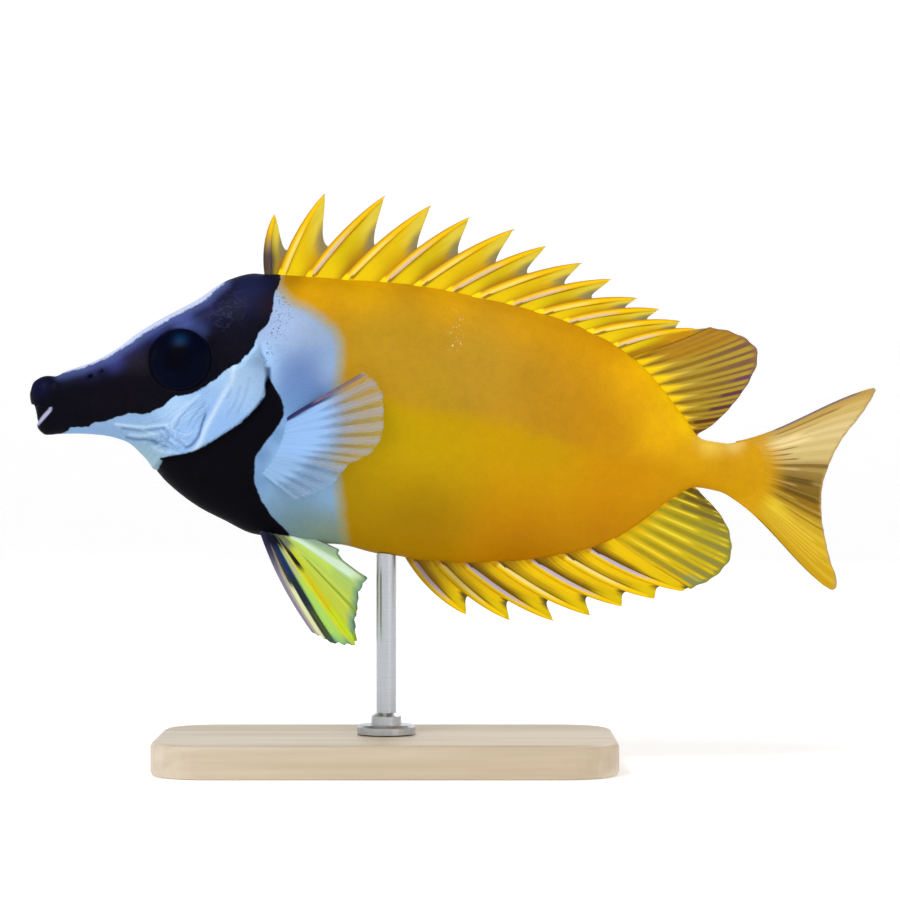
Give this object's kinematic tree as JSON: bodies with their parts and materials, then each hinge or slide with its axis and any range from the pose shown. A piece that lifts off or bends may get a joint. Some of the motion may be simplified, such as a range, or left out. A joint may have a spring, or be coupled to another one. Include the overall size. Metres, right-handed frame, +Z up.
{
  "type": "still model of a foxface rabbitfish on a stand",
  "caption": "Life-size still model of a foxface rabbitfish with a long snout and spiny fins, held level above a flat base by one short rod.",
  "frame": {"origin": "bottom centre of the whole object's box, on the surface that the stand's plate rests on", "axes": "+X from the snout to the tail, +Y out of the fish's right side, +Z up"},
  "size_m": [0.2031, 0.062, 0.1377],
  "materials": {
    "head_skin": "satin, wet-looking fish skin, near black with pale blue-white cheek and brow",
    "body_skin": "satin, fine-scaled fish skin, ochre yellow",
    "eye": "glossy, dark",
    "fin_yellow": "satin, thin yellow fin with raised spines and rays",
    "fin_clear": "satin, thin pale fin with fine rays",
    "fin_lime": "satin, grey-green fin with yellow rays",
    "stand_wood": "matt, pale oiled wood",
    "stand_steel": "satin turned steel"
  },
  "bodies": {
    "root": {"head": "head_skin", "torso": "body_skin", "tail": "body_skin", "eye_left": "eye", "eye_right": "eye", "dorsal_fin_spiny": "fin_yellow", "dorsal_fin_soft": "fin_yellow", "anal_fin_spiny": "fin_yellow", "anal_fin_soft": "fin_yellow", "tail_fin": "fin_yellow", "pectoral_fin_left": "fin_clear", "pectoral_fin_right": "fin_clear", "pelvic_fin_left": "fin_lime", "pelvic_fin_right": "fin_lime", "stand_plate": "stand_wood", "stand_rod": "stand_steel"}
  },
  "joints": []
}
